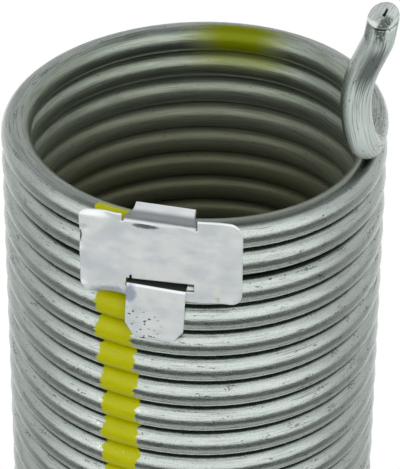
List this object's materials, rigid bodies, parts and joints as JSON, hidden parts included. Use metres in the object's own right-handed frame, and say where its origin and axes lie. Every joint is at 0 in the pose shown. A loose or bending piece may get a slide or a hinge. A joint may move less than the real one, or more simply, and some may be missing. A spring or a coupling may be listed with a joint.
{
  "type": "garage door torsion spring",
  "caption": "Close-wound left-hand torsion spring of galvanised round wire with an axial hook at each end and a folded sheet-metal tag threaded around two turns.",
  "frame": {"origin": "on the coil's axis, halfway along the coil", "axes": "+Z along the coil's axis, towards the end that carries the tag; the tag faces -Y"},
  "size_m": [0.0818, 0.082, 0.5668],
  "materials": {
    "galvanised_wire": "bright galvanised, drawn lengthwise, with a yellow paint stripe",
    "tag_sheet": "smooth rolled sheet"
  },
  "bodies": {
    "root": {"spring_wire": "galvanised_wire", "tag": "tag_sheet"}
  },
  "joints": []
}
